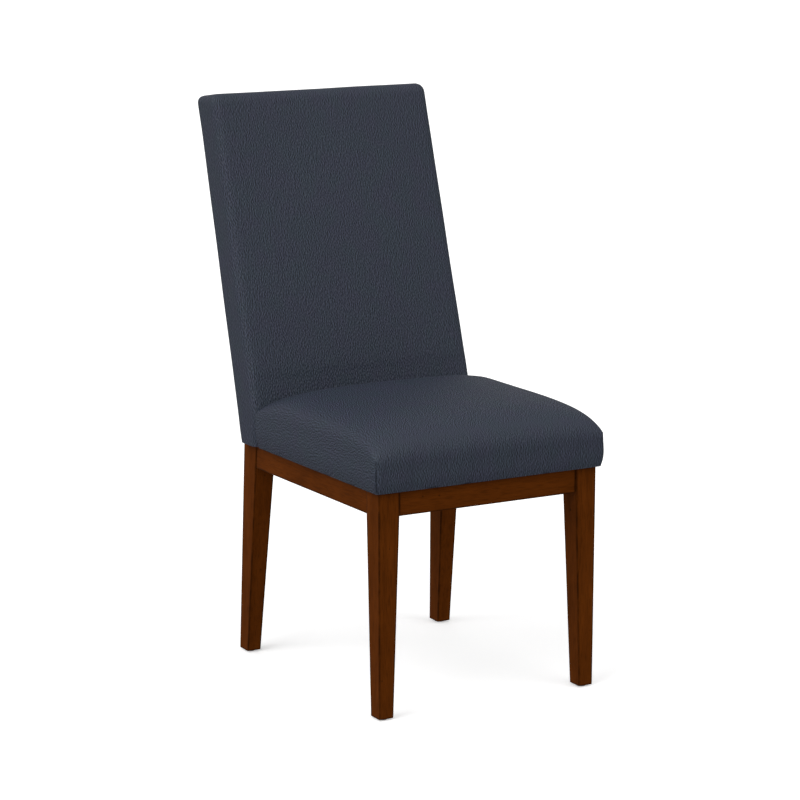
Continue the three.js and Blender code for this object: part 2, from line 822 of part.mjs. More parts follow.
function backRings(inset, bottom) {
  const edge = backTopEdge - inset;
  const shoulder = backHeight - backTopEdge;
  const body = Array.from({ length: backBodyRings }, (_, i) => (
    backRing(backCrownStart + ((shoulder - backTopEdge - backCrownStart) * i) / (backBodyRings - 1), inset, 0)
  ));
  const top = Array.from({ length: backEdgeSteps + 1 }, (_, i) => {
    const angle = ((Math.PI / 2) * i) / backEdgeSteps;
    return backRing(shoulder + edge * Math.sin(angle), inset, edge * (1 - Math.cos(angle)));
  });
  const low = [bottom, seatWallHeight].map((z) => backRing(z, inset, 0));
  return [...low, ...body, ...top];
}

function backSkin() {
  const hemRing = (z) => backRing(0, backHem, 0).map(({ x, y }) => new THREE.Vector3(x, y, z));
  const outer = backRings(0, 0).reverse();
  const inner = backRings(coverThickness, coverThickness).reverse();
  const slot = (z) => {
    const post = postLevel(Math.max(0, z));
    return {
      z,
      left: post.left - fitGap,
      right: post.right + fitGap,
      front: post.front - fitGap,
      rear: post.rear + fitGap,
    };
  };
  const slots = sides.map(({ side }) => (
    mirrored(bar([slot(-cutOverrun), slot(0), slot(coverThickness + fitGap / 2)], 0), side)
  ));
  return cut(coverSkin(outer, [hemRing(0), hemRing(coverThickness)], inner), ...slots);
}

// The outside back: the leather panel that closes the rear, cut from the same skin as the cover
function panelWindow(gap) {
  const level = (z) => ({
    z,
    left: backPanelBorder + gap - backHalfWidth(z),
    right: backHalfWidth(z) - backPanelBorder - gap,
    front: backRearLine(z) - coverThickness - fitGap / 2,
    rear: backRearLine(z) + cutOverrun,
  });
  return bar([level(-cutOverrun), level(backHeight - backTopFall - backPanelBorder - gap)], 0);
}

const paddingBlank = () => loft(backRings(padInset, padInset));

function behind(start) {
  const level = (z) => ({
    z,
    left: -2 * backFootHalf,
    right: 2 * backFootHalf,
    front: start(z),
    rear: backRearLine(z) + backThickness,
  });
  return bar([level(-cutOverrun), level(backHeight + cutOverrun)], 0);
}

function backFoam() {
  const level = (z) => ({
    z,
    left: -postOuter(z) - fitGap,
    right: postOuter(z) + fitGap,
    front: postFront(z) - webSpace,
    rear: backRearLine(z) + backThickness,
  });
  const frameSpace = bar([level(-cutOverrun), level(postTop + fitGap)], 0);
  return cut(paddingBlank(), frameSpace, behind(postRear));
}

function backWadding() {
  return common(paddingBlank(), behind((z) => postRear(z) + fitGap));
}

function placeBackWebs() {
  const slope = Math.atan(rake);
  const along = new THREE.Vector3(0, Math.sin(slope), Math.cos(slope));
  const through = new THREE.Vector3(0, -Math.cos(slope), Math.sin(slope));
  const low = padInset + backRailHeight;
  const high = postTop - backRailHeight;
  const middle = (low + high) / 2;
  const surface = fitGap + webThickness / 2;
  const crossPlaces = spread(backCrossWebCount, high - low);
  const longPlaces = spread(backLongWebCount, 2 * postInner(postTop));
  const onFace = (x, z, lift) => {
    const base = new THREE.Vector3(x, postFront(z), z);
    return base.addScaledVector(through, surface + lift);
  };
  crossPlaces.forEach((offset, i) => {
    const z = middle + offset;
    const end = postOuter(postTop) - webThickness;
    const path = wovenPath(end, postInner(postTop) - webThickness, longPlaces, i % 2 === 0);
    const points = path.map(({ at, lift }) => onFace(at, z, lift));
    place(`back_cross_web_${i + 1}`, band(points, along, through), webbing(), back);
  });
  longPlaces.forEach((offset, i) => {
    const path = wovenPath((high - low + backRailHeight) / 2, (high - low) / 2, crossPlaces, i % 2 !== 0);
    const points = path.map(({ at, lift }) => onFace(offset, middle + at, lift));
    place(`back_long_web_${i + 1}`, band(points, new THREE.Vector3(1, 0, 0), through), webbing(), back);
  });
}

// Assembly: wooden frame
const railHoles = () => corners.flatMap((corner) => [true, false].flatMap((intoSideRail) => (
  sides.map(({ side }) => mirrored(pilot(railScrewLine(corner, intoSideRail)), side))
)));
sides.forEach(({ side, name }) => {
  place(`front_leg_${name}`, mirrored(frontLeg(), side), wood(), frame);
  place(`rear_leg_${name}`, mirrored(rearLeg(), side), wood(), frame);
  place(`side_rail_${name}`, cut(mirrored(sideRail(), side), ...railHoles()), wood(), frame);
});
place('front_rail', cut(frontRail(), ...railHoles()), wood(), frame);
place('rear_rail', cut(rearRail(), ...railHoles()), wood(), frame);
corners.forEach((corner) => sides.forEach(({ side, name }) => {
  const label = `${corner.name}_${name}`;
  place(`corner_block_${label}`, mirrored(cornerBlock(corner), side), innerWood(), frame);
  placeScrew(`side_rail_screw_${label}`, railScrewLine(corner, true), side);
  placeScrew(`${corner.name}_rail_screw_${name}`, railScrewLine(corner, false), side);
  placeScrew(`seat_screw_${label}`, seatScrewLine(corner), side);
  const glide = place(`glide_${label}`, glideGeometry(), plastic(), frame);
  const foot = corner.name === 'front' ? frontFoot() : rearFoot();
  glide.position.set(side * foot.x, foot.y, 0);
}));

// Assembly: seat
sides.forEach(({ side, name }) => {
  place(`seat_frame_${name}`, mirrored(seatSideFrame(), side), innerWood(), seat);
});
const crossFrames = [
  { name: 'seat_frame_front', y: [seatFrameFront - cutOverrun, seatFrameFront + seatFrameWidth] },
  { name: 'seat_frame_rear', y: [seatFrameRear - seatFrameWidth, seatFrameRear + cutOverrun] },
];
crossFrames.forEach(({ name, y }) => place(name, seatCrossFrame(y), innerWood(), seat));
placeSeatWebs();
place('seat_foam', seatFoam(), foam(), seat);
place('seat_cover', seatCover(), leather(), seat);
place('seat_dust_cover', dustCover(), lining(), seat);

// Assembly: back
backRails.forEach(({ name, z }) => place(name, backRail(z), innerWood(), back));
placeBackWebs();
place('back_foam', backFoam(), foam(), back);
place('back_wadding', backWadding(), foam(), back);
place('back_cover', cut(backSkin(), panelWindow(0)), leather(), back);
place('back_panel', common(backSkin(), panelWindow(fitGap)), leather(), back);

// The origin goes on the floor under the middle of the chair
chair.updateMatrixWorld(true);
const extent = new THREE.Box3().setFromObject(chair);
chair.position.y = -(extent.min.y + extent.max.y) / 2;

export default chair;
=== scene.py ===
# %% [markdown]
# # An upholstered parsons chair
# The chair's plain pieces are already made to size. This lesson dresses them: soft leather
# cushions grown from simple boxes, a stained wood finish, and a quiet studio to show them in.

# %% Tools and the fixed frame
import math

import bmesh
import bpy
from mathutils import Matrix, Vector, noise


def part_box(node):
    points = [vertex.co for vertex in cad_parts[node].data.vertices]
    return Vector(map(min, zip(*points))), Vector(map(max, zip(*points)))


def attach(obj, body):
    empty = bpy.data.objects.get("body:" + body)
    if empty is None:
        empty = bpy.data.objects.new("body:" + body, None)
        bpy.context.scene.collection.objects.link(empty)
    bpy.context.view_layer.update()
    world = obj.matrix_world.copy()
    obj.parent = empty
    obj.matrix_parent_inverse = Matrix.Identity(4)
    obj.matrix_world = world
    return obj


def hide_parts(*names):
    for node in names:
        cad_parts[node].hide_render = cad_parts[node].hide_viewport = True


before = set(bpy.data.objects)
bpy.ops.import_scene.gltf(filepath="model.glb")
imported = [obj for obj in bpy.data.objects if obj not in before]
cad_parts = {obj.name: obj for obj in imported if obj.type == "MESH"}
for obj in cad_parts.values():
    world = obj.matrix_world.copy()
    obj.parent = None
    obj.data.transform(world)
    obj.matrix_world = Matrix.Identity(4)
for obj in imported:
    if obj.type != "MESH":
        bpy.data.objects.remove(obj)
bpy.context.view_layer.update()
scene = bpy.context.scene


# %% [markdown]
# ## Where the photographer stood
# The camera comes first, because every later choice is judged through it. The picture was taken
# from the sitter's right, a little above the seat, with a long lens from over five metres away.
# A long lens keeps the legs nearly parallel, so distance and focal length are set together.

# %% Camera
front_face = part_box("front_leg_left")[0].y
azimuth = math.radians(-29.896)
elevation = math.radians(11.302)
distance = 5.3515
toward_camera = Vector((
    math.sin(azimuth) * math.cos(elevation),
    -math.cos(azimuth) * math.cos(elevation),
    math.sin(elevation),
))
aim = Vector((-0.0461, front_face + 0.225, 0.4991))
picture_width = 800
focal_pixels = 3064.55
camera_data = bpy.data.cameras.new("studio_camera")
camera_data.sensor_width = 36.0
camera_data.lens = camera_data.sensor_width * focal_pixels / picture_width
camera_data.clip_end = 200
camera = bpy.data.objects.new("studio_camera", camera_data)
camera.location = aim + toward_camera * distance
camera.rotation_euler = (-toward_camera).to_track_quat("-Z", "Y").to_euler()
scene.collection.objects.link(camera)
scene.camera = camera
print("camera at", tuple(round(v, 3) for v in camera.location), "lens", round(camera_data.lens, 1))


# %% [markdown]
# ## A small kit for materials
# Every finish here is a handful of nodes, and these helpers only save typing. A socket is fed by
# another node's output or by a plain value, so one helper does both. The others add a node,
# start a material, or make a sum, a soft noise, a ramp of tones, a blend of two tones or a bump.

# %% Node helpers
def feed(tree, value, socket):
    if isinstance(value, bpy.types.NodeSocket):
        tree.links.new(value, socket)
    else:
        socket.default_value = value


def add_node(tree, kind, settings=None, **sockets):
    node = tree.nodes.new(kind)
    for key, value in (settings or {}).items():
        setattr(node, key, value)
    for key, value in sockets.items():
        feed(tree, value, node.inputs[key.replace("_", " ")])
    return node


def new_finish(name, **sockets):
    finish = bpy.data.materials.new(name)
    finish.use_nodes = True
    tree = finish.node_tree
    shader = tree.nodes["Principled BSDF"]
    for key, value in sockets.items():
        shader.inputs[key.replace("_", " ")].default_value = value
    return finish, tree, shader


def calculate(tree, kind, operation, values):
    node = add_node(tree, kind, {"operation": operation})
    for socket, value in zip(node.inputs, values):
        feed(tree, value, socket)
    return node


def number(tree, operation, *values):
    return calculate(tree, "ShaderNodeMath", operation, values).outputs[0]


def vector(tree, operation, *values):
    return calculate(tree, "ShaderNodeVectorMath", operation, values).outputs[0]


def multiply(tree, first, second):
    return number(tree, "MULTIPLY", first, second)


def add_up(tree, first, second):
    return number(tree, "ADD", first, second)


# %% Helpers for tone and relief
def object_place(tree):
    return add_node(tree, "ShaderNodeTexCoord").outputs["Object"]


def drawn_out(tree, place, turn, along, factor):
    stretch = [1.0, 1.0, 1.0]
    stretch[along] = factor
    return add_node(
        tree, "ShaderNodeMapping", {"vector_type": "TEXTURE"},
        Vector=place, Rotation=turn, Scale=stretch,
    ).outputs[0]


def soft_noise(tree, place, scale, detail, output=0, **more):
    node = add_node(
        tree, "ShaderNodeTexNoise", None, Vector=place, Scale=scale, Detail=detail, **more,
    )
    return node.outputs[output]


def ramp(tree, factor, stops, ease="LINEAR"):
    node = add_node(tree, "ShaderNodeValToRGB")
    feed(tree, factor, node.inputs[0])
    node.color_ramp.interpolation = ease
    elements = node.color_ramp.elements
    while len(elements) < len(stops):
        elements.new(0.5)
    for element, (place, tone) in zip(elements, stops):
        element.position = place
        element.color = (*tone, 1) if isinstance(tone, tuple) else (tone, tone, tone, 1)
    return node.outputs["Color"]


def blend_tones(tree, factor, first, second, how="MIX"):
    node = add_node(tree, "ShaderNodeMix", {"data_type": "RGBA", "blend_type": how})
    feed(tree, factor, node.inputs[0])
    colour_sockets = (node.inputs[6], node.inputs[7])
    for socket, tone in zip(colour_sockets, (first, second)):
        feed(tree, (*tone, 1) if isinstance(tone, tuple) else tone, socket)
    return node.outputs[2]


def emboss(tree, shader, relief, strength, depth):
    bump = add_node(
        tree, "ShaderNodeBump", None, Strength=strength, Distance=depth, Height=relief,
    )
    tree.links.new(bump.outputs[0], shader.inputs["Normal"])


# %% [markdown]
# ## The grain of the leather
# The hide has a fine grain of small bumps, a little longer than they are wide. One noise, pushed
# about by a slower one, gives the height of the bumps. The same noise is read again a step to each
# side, to tell how sharply a bump is curved across: ridges stand above their neighbours, creases
# lie below them, and the colour gets a painted highlight on ridges and painted shade in creases.
# The way across is square to the grain and lies in the surface, so it turns with the form.

# %% Leather grain
grain_drift = 0.0023


def pebbles(tree, place, facing, turn, along, longer, fineness, step):
    at = drawn_out(tree, place, turn, along, longer)
    grain_way = [0.0, 0.0, 0.0]
    grain_way[along] = 1.0
    across = vector(tree, "CROSS_PRODUCT", facing, grain_way)
    drift = soft_noise(tree, at, 60.0, 2.0, "Color")
    pushed = vector(tree, "MULTIPLY_ADD", drift, (grain_drift,) * 3, at)
    heights = []
    for way in (0, 1, -1):
        spot = vector(tree, "MULTIPLY_ADD", across, (way * step,) * 3, pushed)
        heights.append(soft_noise(tree, spot, fineness, 0.0))
    middle, one_side, other_side = heights
    ridge = number(tree, "MULTIPLY_ADD", add_up(tree, one_side, other_side), -0.5, middle)
    return middle, ridge


def upright_grain(tree, place, facing, lean):
    return pebbles(
        tree, place, facing,
        turn=(-lean, 0, 0), along=2, longer=1.75, fineness=396.0, step=0.0016,
    )


def side_grain(tree, place, facing):
    height, ridge = pebbles(
        tree, place, facing,
        turn=(0, 0, 0), along=1, longer=1.4, fineness=330.0, step=0.0018,
    )
    return add_up(tree, multiply(tree, height, 0.6), 0.2), multiply(tree, ridge, 0.85)


def top_grain(tree, place, facing):
    height, ridge = pebbles(
        tree, place, facing,
        turn=(0, 0, azimuth), along=1, longer=3.0, fineness=456.0, step=0.0014,
    )
    return add_up(tree, multiply(tree, height, 0.7), 0.15), multiply(tree, ridge, 1.1)


# %% [markdown]
# ## Leather
# The leather is dark slate blue, and slow noise shifts its tone as on a real hide. The grain runs
# up the back and down the seat's front, aslant over its top, and level along its sides, so the
# seat blends three grains by the way each face looks. Ridges get a painted highlight and creases
# painted shade, and an attribute stored in the mesh paints shade into the bottom of each tuck.

# %% Leather finish
slate_tones = ((0.35, (0.0305, 0.0349, 0.0566)), (0.65, (0.028, 0.0375, 0.0542)))
# Colour multipliers for painted shade in grain creases and a painted highlight on grain ridges.
crease_shade_to_ridge_highlight = ((0.2, 0.32), (0.5, 1.0), (0.8, 1.98))
# Colour of the painted shade in the bottom of each tuck.
painted_tuck_shade_colour = (0.006, 0.007, 0.01)
rake = math.radians(16.4)


def grain_by_form(tree, place, facing, upright):
    parts = add_node(tree, "ShaderNodeSeparateXYZ", None, Vector=facing)
    ahead = number(tree, "ABSOLUTE", parts.outputs["Y"])
    front_share = ramp(tree, ahead, ((0.5, 0.0), (0.72, 1.0)), "EASE")
    top_share = ramp(tree, parts.outputs["Z"], ((0.6, 0.0), (0.85, 1.0)), "EASE")
    side, top = side_grain(tree, place, facing), top_grain(tree, place, facing)
    level = [blend_tones(tree, top_share, *pair) for pair in zip(side, top)]
    return [blend_tones(tree, front_share, *pair) for pair in zip(level, upright)]


def leather_finish(name, lean=0.0, follows_form=False):
    finish, tree, shader = new_finish(name, Roughness=0.5, Specular_IOR_Level=0.28)
    place = object_place(tree)
    facing = add_node(tree, "ShaderNodeTexCoord").outputs["Normal"]
    height, ridge = upright_grain(tree, place, facing, lean)
    if follows_form:
        height, ridge = grain_by_form(tree, place, facing, (height, ridge))
    tone = ramp(tree, soft_noise(tree, place, 24.0, 2.0, Roughness=0.6), slate_tones)
    # Painted highlight on grain ridges and painted shade in grain creases, from the ridge measure.
    painted_ridge_light = ramp(tree, add_up(tree, ridge, 0.5), crease_shade_to_ridge_highlight)
    tone = blend_tones(tree, 1.0, tone, painted_ridge_light, "MULTIPLY")
    # Painted shade at the bottom of each tuck, read from a point attribute stored in the mesh.
    fold = add_node(tree, "ShaderNodeAttribute", {"attribute_name": "tuck_painted_shade"}).outputs["Fac"]
    tone = blend_tones(tree, multiply(tree, fold, 0.55), tone, painted_tuck_shade_colour)
    tree.links.new(tone, shader.inputs["Base Color"])
    tree.links.new(ramp(tree, height, ((0.3, 0.58), (0.7, 0.4))), shader.inputs["Roughness"])
    emboss(tree, shader, add_up(tree, height, multiply(tree, ridge, 0.75)), 1.0, 0.0012)
    return finish


back_leather = leather_finish("back_leather", lean=rake)
seat_leather = leather_finish("seat_leather", follows_form=True)
print("leather finishes:", back_leather.name, seat_leather.name)


# %% [markdown]
# ## Stained wood
# The frame is stained a dark reddish brown and rubbed down to a satin sheen, with small dark
# marks of wear and darker edges. Grain runs along each member, so there is one finish for each
# direction. Long thin noise makes the grain, sparse dots make the marks, and an attribute stored
# in the mesh, `edge_tone`, says how near a point is to an edge, so that edges can be darkened.

# %% Wood finish
def worn_tone(tree, place, tone):
    spots = add_node(
        tree, "ShaderNodeTexVoronoi", None, Vector=place, Scale=62.0, Randomness=1.0,
    )
    rare = add_node(tree, "ShaderNodeSeparateColor", None, Color=spots.outputs["Color"]).outputs[0]
    size = multiply(tree, ramp(tree, rare, ((0.72, 0.0), (1.0, 1.0))), 0.2)
    depth = number(tree, "SUBTRACT", size, spots.outputs["Distance"])
    mark = ramp(tree, depth, ((0.0, 0.0), (0.1, 1.0)))
    tone = blend_tones(tree, multiply(tree, mark, 0.6), tone, (0.006, 0.003, 0.001))
    near = add_node(tree, "ShaderNodeAttribute", {"attribute_name": "edge_tone"}).outputs["Fac"]
    patchy = ramp(tree, soft_noise(tree, place, 45.0, 3.0), ((0.3, 0.35), (0.65, 1.0)))
    rub = multiply(tree, multiply(tree, near, near), patchy)
    return blend_tones(tree, multiply(tree, rub, 0.75), tone, (0.012, 0.004, 0.0012))


def wood_finish(name, along, dark, light, sheen, worn=True):
    finish, tree, shader = new_finish(name, Roughness=0.42, Specular_IOR_Level=sheen)
    shader.inputs["Specular Tint"].default_value = (1.0, 0.42, 0.12, 1)
    place = object_place(tree)
    at = drawn_out(tree, place, (0, 0, 0), along, 14.0)
    bands = soft_noise(tree, at, 60.0, 5.0, Roughness=0.6, Distortion=0.6)
    pores = soft_noise(tree, at, 620.0, 2.0)
    cloud = soft_noise(tree, place, 14.0, 3.0)
    figure = add_up(tree, multiply(tree, bands, 0.6), multiply(tree, cloud, 0.4))
    tone = ramp(tree, figure, ((0.36, dark), (0.64, light)))
    pore_tone = ramp(tree, pores, ((0.36, 0.5), (0.52, 1.0)))
    tone = blend_tones(tree, 0.5, tone, pore_tone, "MULTIPLY")
    if worn:
        tone = worn_tone(tree, place, tone)
    tree.links.new(tone, shader.inputs["Base Color"])
    tree.links.new(ramp(tree, bands, ((0.3, 0.5), (0.7, 0.36))), shader.inputs["Roughness"])
    emboss(tree, shader, pores, 0.25, 0.0003)
    return finish


stain_dark, stain_light = (0.088, 0.0212, 0.0025), (0.128, 0.0312, 0.0037)
stained = [
    wood_finish(f"stained_wood_{axis}", i, stain_dark, stain_light, 0.015)
    for i, axis in enumerate("xyz")
]
print("stained finishes:", [finish.name for finish in stained])


# %% [markdown]
# ## Small helpers for new pieces
# A new piece is shaped in a bmesh, then turned into an object that sits at the origin. It gets
# one finish, and it is told which frame piece it stands for.

# %% Piece helpers
def make_piece(name, bm, finish):
    mesh = bpy.data.meshes.new(name)
    bm.to_mesh(mesh)
    bm.free()
    mesh.materials.append(finish)
    piece = bpy.data.objects.new(name, mesh)
    scene.collection.objects.link(piece)
    print(name, "has", len(mesh.polygons), "faces")
    return piece


def smooth_faces(piece, sharp_above):
    piece.data.polygons.foreach_set("use_smooth", [True] * len(piece.data.polygons))
    piece.data.set_sharp_from_angle(angle=math.radians(sharp_above))


def clamp(value, low=0.0, high=1.0):
    return max(low, min(high, value))


def soft_step(value, start, end):
    share = clamp((value - start) / (end - start))
    return share * share * (3 - 2 * share)


# %% [markdown]
# ## A tapered length of wood
# Each leg is one length of wood that tapers to its foot, and each rail is a plain board tenoned
# into the legs. A cube with its corners moved gives a tapered length, and extruding its top face
# adds the next length. The arrises are eased with a narrow bevel, as a maker does with
# sandpaper. A narrow inset along each face then marks where the stain has darkened the edge.

# %% Shape a length of wood
def set_level(verts, level):
    z, left, right, front, rear = level
    middle = sum((v.co for v in verts), Vector()) / len(verts)
    for v in verts:
        v.co = Vector((
            left if v.co.x < middle.x else right, front if v.co.y < middle.y else rear, z,
        ))


def shape_length(levels):
    bm = bmesh.new()
    bmesh.ops.create_cube(bm, size=1.0)
    set_level([v for v in bm.verts if v.co.z < 0], levels[0])
    top = max(bm.faces, key=lambda face: face.calc_center_median().z)
    set_level(list(top.verts), levels[1])
    for level in levels[2:]:
        below = top
        grown = bmesh.ops.extrude_face_region(bm, geom=[below])["geom"]
        top = next(item for item in grown if isinstance(item, bmesh.types.BMFace))
        bmesh.ops.delete(bm, geom=[below], context="FACES_ONLY")
        set_level(list(top.verts), level)
    bmesh.ops.recalc_face_normals(bm, faces=bm.faces[:])
    return bm


# %% Ease the arrises and mark the edges
arris = 0.0014
edge_band = 0.0032
smallest_face = 0.0003


def ease_arrises(bm):
    bm.normal_update()
    sharp = [edge for edge in bm.edges if edge.calc_face_angle(0.0) > math.radians(40)]
    bmesh.ops.bevel(
        bm, geom=sharp, offset=arris, offset_type="OFFSET", segments=3, profile=0.5,
        affect="EDGES", material=-1, clamp_overlap=True,
    )
    bm.normal_update()


def mark_edges(bm):
    layer = bm.verts.layers.float.new("edge_tone")
    for v in bm.verts:
        v[layer] = 1.0
    for way in (Vector((1, 0, 0)), Vector((0, 1, 0)), Vector((0, 0, 1))):
        for side in (way, -way):
            broad = [
                face for face in bm.faces
                if face.normal.dot(side) > 0.96 and face.calc_area() > smallest_face
            ]
            if not broad:
                continue
            bmesh.ops.inset_region(
                bm, faces=broad, thickness=edge_band, use_boundary=True, use_even_offset=True,
            )
            for v in {v for face in broad for v in face.verts}:
                v[layer] = 0.0
    bm.normal_update()


def wooden_piece(name, levels, finish):
    bm = shape_length(levels)
    ease_arrises(bm)
    mark_edges(bm)
    piece = make_piece(name, bm, finish)
    smooth_faces(piece, 50)
    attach(piece, "root")
    return piece


# %% [markdown]
# ## The legs
# The front legs are straight beside the rails and taper on their inner faces below. A rear leg
# kicks back towards the floor, and above the rail it goes on inside the back as its post, so it
# is one length with five levels. Each level is a height, two sides and a front and a rear, and
# the right leg is the left one mirrored.

# %% Build the legs
both_sides = ((1, "left"), (-1, "right"))
foot_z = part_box("glide_front_left")[0].z + 0.0025
rail_low, rail_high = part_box("side_rail_left")
leg_top = rail_high.z
post_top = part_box("rear_leg_left")[1].z
rear_leg_face = front_face + 0.4469
rear_kick = 0.0424
rear_foot_depth, rear_leg_growth = 0.0314, 0.017


def across(side, inner, outer):
    return (inner, outer) if side > 0 else (-outer, -inner)


def level(side, z, inner, outer, front, rear):
    return (z, *across(side, inner, outer), front, rear)


def rear_leg_level(side, z, inner, outer):
    front = rear_leg_face + rear_kick * (1 - z / leg_top)
    rear = front + rear_foot_depth + rear_leg_growth * z / leg_top
    return level(side, z, inner, outer, front, rear)


for side, word in both_sides:
    piece = wooden_piece(
        f"tapered_front_leg_{word}",
        [
            level(side, foot_z, 0.1872, 0.2147, front_face + 0.0013, front_face + 0.0313),
            level(side, rail_low.z, 0.176, 0.216, front_face, front_face + 0.043),
            level(side, leg_top, 0.176, 0.216, front_face, front_face + 0.043),
        ],
        stained[2],
    )
    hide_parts(f"front_leg_{word}")
    piece = wooden_piece(
        f"raked_rear_leg_{word}",
        [
            rear_leg_level(side, foot_z, 0.188, 0.2145),
            rear_leg_level(side, rail_low.z, 0.1761, 0.2145),
            rear_leg_level(side, leg_top, 0.1761, 0.2145),
            level(side, leg_top + 0.012, 0.1804, 0.2123, 0.1285, 0.1582),
            level(side, post_top, 0.1750, 0.2050, 0.2985, 0.3279),
        ],
        stained[2],
    )
    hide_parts(f"rear_leg_{word}")
print("legs", foot_z, "to", round(leg_top, 4))

# %% [markdown]
# ## The rails
# Four boards join the legs just under the cushions. Their tenons are hidden, so a board only
# reaches from leg to leg, with a hair's breadth left at each joint for the fine dark line that
# shows there. The side boards' rear ends follow the slope of the rear legs.

# %% Build the rails
side_rail_front = front_face + 0.0433
for side, word in both_sides:
    piece = wooden_piece(
        f"side_board_{word}",
        [
            level(side, rail_low.z, 0.1915, 0.2135, side_rail_front, front_face + 0.4512),
            level(side, leg_top, 0.1915, 0.2135, side_rail_front, front_face + 0.4466),
        ],
        stained[1],
    )
    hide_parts(f"side_rail_{word}")

cross_rail_half = 0.1757
for name, node in (("front_board", "front_rail"), ("rear_board", "rear_rail")):
    low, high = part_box(node)
    piece = wooden_piece(
        name,
        [
            (rail_low.z, -cross_rail_half, cross_rail_half, low.y, high.y),
            (leg_top, -cross_rail_half, cross_rail_half, low.y, high.y),
        ],
        stained[0],
    )
    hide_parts(node)
print("rails", round(rail_low.z, 4), "to", round(leg_top, 4))


# %% [markdown]
# ## What shows from below
# Corner blocks, seat frame, webbing, lining, screws and glides only show from below. They still
# get a finish each, because the chair is looked at from every side. Their shapes come straight
# from the frame, so only a finish is laid on them.

# %% Bare wood inside
def dress(names, finish):
    for name in names:
        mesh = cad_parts[name].data
        mesh.materials.clear()
        mesh.materials.append(finish)
    print(finish.name, "on", len(names), "frame pieces")


bare_dark, bare_light = (0.3, 0.2, 0.1), (0.5, 0.36, 0.2)
bare = [
    wood_finish(f"bare_wood_{axis}", i, bare_dark, bare_light, 0.3, worn=False)
    for i, axis in enumerate("xyz")
]
dress([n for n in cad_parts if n.startswith("corner_block")], bare[0])
dress(["seat_frame_front", "seat_frame_rear", "back_bottom_rail", "back_top_rail"], bare[0])
dress(["seat_frame_left", "seat_frame_right"], bare[1])


# %% Webbing, lining, screws and glides
def woven_finish(name, thread, gap_tone, thread_tone, roughness):
    finish, tree, shader = new_finish(name, Roughness=roughness, Specular_IOR_Level=0.2)
    place = object_place(tree)
    rows = [
        add_node(
            tree, "ShaderNodeTexWave", {"bands_direction": way, "wave_profile": "SIN"},
            Vector=place, Scale=1 / (thread * 3.2), Distortion=0.6, Detail=1.0, Detail_Scale=3.0,
        ).outputs["Color"]
        for way in ("X", "Y", "Z")
    ]
    weave = multiply(tree, add_up(tree, add_up(tree, rows[0], rows[1]), rows[2]), 0.34)
    tone = ramp(tree, weave, ((0.2, gap_tone), (0.7, thread_tone)))
    tree.links.new(tone, shader.inputs["Base Color"])
    emboss(tree, shader, weave, 0.5, thread * 0.5)
    return finish


def speckled_finish(name, dark, light, roughness, metallic=0.0):
    finish, tree, shader = new_finish(name, Roughness=roughness, Metallic=metallic)
    speckle = soft_noise(tree, object_place(tree), 400.0, 3.0)
    tone = ramp(tree, speckle, ((0.35, dark), (0.65, light)))
    tree.links.new(tone, shader.inputs["Base Color"])
    emboss(tree, shader, speckle, 0.2, 0.0002)
    return finish


webbing = woven_finish("webbing_weave", 0.0012, (0.1, 0.075, 0.045), (0.4, 0.32, 0.2), 0.85)
lining = woven_finish("lining_weave", 0.0007, (0.004,) * 3, (0.02, 0.021, 0.023), 0.9)
zinc = speckled_finish("zinc_steel", (0.42, 0.41, 0.38), (0.6, 0.59, 0.55), 0.35, 1.0)
plastic = speckled_finish("dark_plastic", (0.016, 0.011, 0.008), (0.026, 0.018, 0.013), 0.5)
dress([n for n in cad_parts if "_web_" in n], webbing)
dress(["seat_dust_cover"], lining)
dress([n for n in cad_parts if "screw" in n], zinc)
dress([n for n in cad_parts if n.startswith("glide")], plastic)


# %% [markdown]
# ## From a box to a cushion
# Both cushions start as a box cut into a fine grid. Each grid point keeps its place in the box,
# from -1 to 1 across, from front to rear and upwards, and a rule for each cushion says where
# that place goes. It is the quickest way to a form whose every curve is known, and the same rule
# serves any fineness.

# %% Box grid and rounded outline
def grid_box(cuts):
    bm = bmesh.new()
    bmesh.ops.create_cube(bm, size=2.0)
    for way in range(3):
        run = [e for e in bm.edges if abs(e.verts[0].co[way] - e.verts[1].co[way]) > 1e-6]
        bmesh.ops.subdivide_edges(bm, edges=run, cuts=cuts[way], use_grid_fill=True)
    return bm


def round_corner(x, y, half_width, half_depth, radius):
    over_x, over_y = abs(x) - (half_width - radius), abs(y) - (half_depth - radius)
    if over_x <= 0 or over_y <= 0:
        return x, y
    pull = max(over_x, over_y) / math.hypot(over_x, over_y)
    return (
        math.copysign(half_width - radius + over_x * pull, x),
        math.copysign(half_depth - radius + over_y * pull, y),
    )


# %% [markdown]
# ## The seat's form
# The seat is drawn in where it is stapled under, bulges a little at half its side height, and
# rolls over soft edges to a low crown. At the rear it dips against the back. The higher a power
# in the rule, the later and tighter an edge rolls over. The grid is crowded towards the edges,
# where the form turns fastest.

# %% Seat rule
seat_low, seat_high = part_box("seat_cover")
back_low, back_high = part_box("back_cover")
seat_level = seat_low.z
seat_half = seat_high.x
seat_front = seat_low.y
cushion_gap = 0.0003
seat_rear = back_low.y - cushion_gap
seat_middle = (seat_front + seat_rear) / 2
seat_reach = (seat_rear - seat_front) / 2
seat_wall, wall_share = 0.047, 0.45
roll_height, crown_height = 0.0625, 0.0075
dip_share, dip_length = 0.55, 0.103
side_bulge, bulge_height, bulge_spread = 0.0014, 0.034, 0.016
top_narrowing = 0.045
draw_height, side_draw, front_draw = 0.02585, 0.005, 0.0035
lean_length = 0.06
crowding = 1.38


